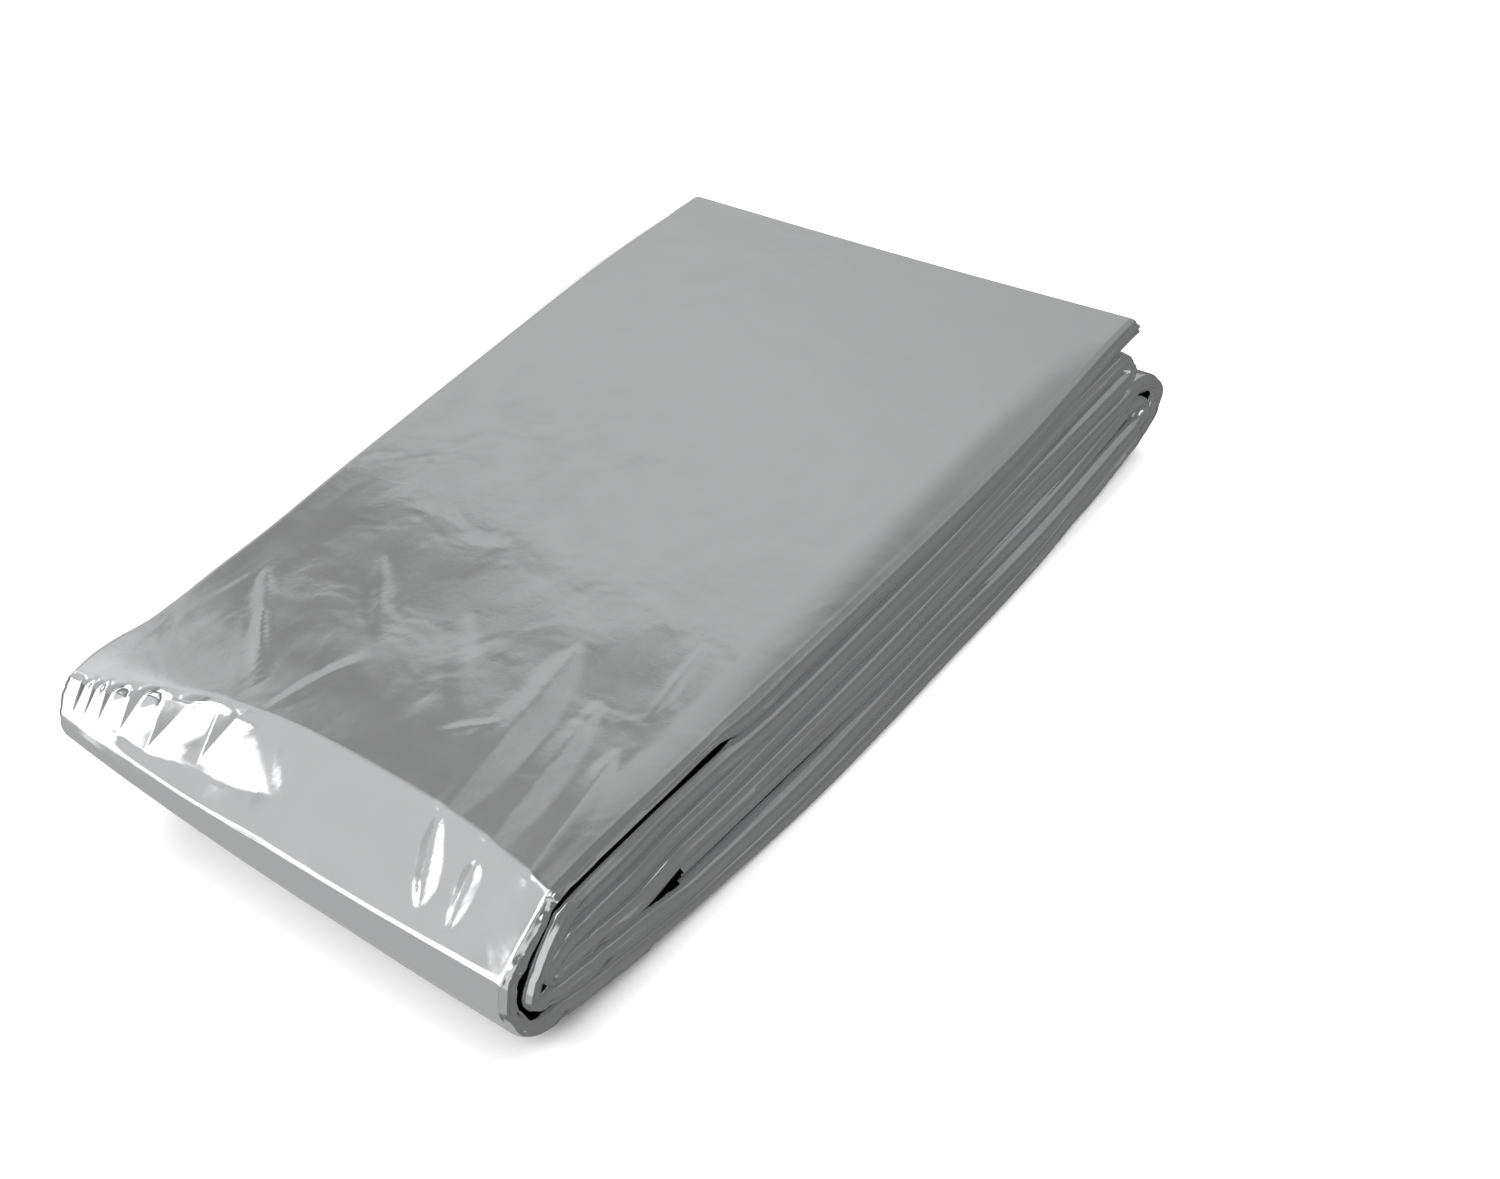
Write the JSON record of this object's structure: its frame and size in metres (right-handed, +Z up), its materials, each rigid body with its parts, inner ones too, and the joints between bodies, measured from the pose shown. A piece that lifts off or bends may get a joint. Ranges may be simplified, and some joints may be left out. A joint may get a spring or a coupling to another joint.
{
  "type": "folded emergency foil blanket",
  "caption": "Thin silver film sheet folded back and forth into a flat pocket-size pack, with a rounded fold at its near end and open layer edges along its long sides.",
  "frame": {"origin": "under the middle of the pack, on the surface that it lies on", "axes": "+X across the pack to its right side, +Y along it from the rounded near end to the far end, +Z up"},
  "size_m": [0.0868, 0.1436, 0.0235],
  "materials": {
    "silver_film": "satin metallised film"
  },
  "bodies": {
    "root": {"folded_blanket": "silver_film"}
  },
  "joints": []
}
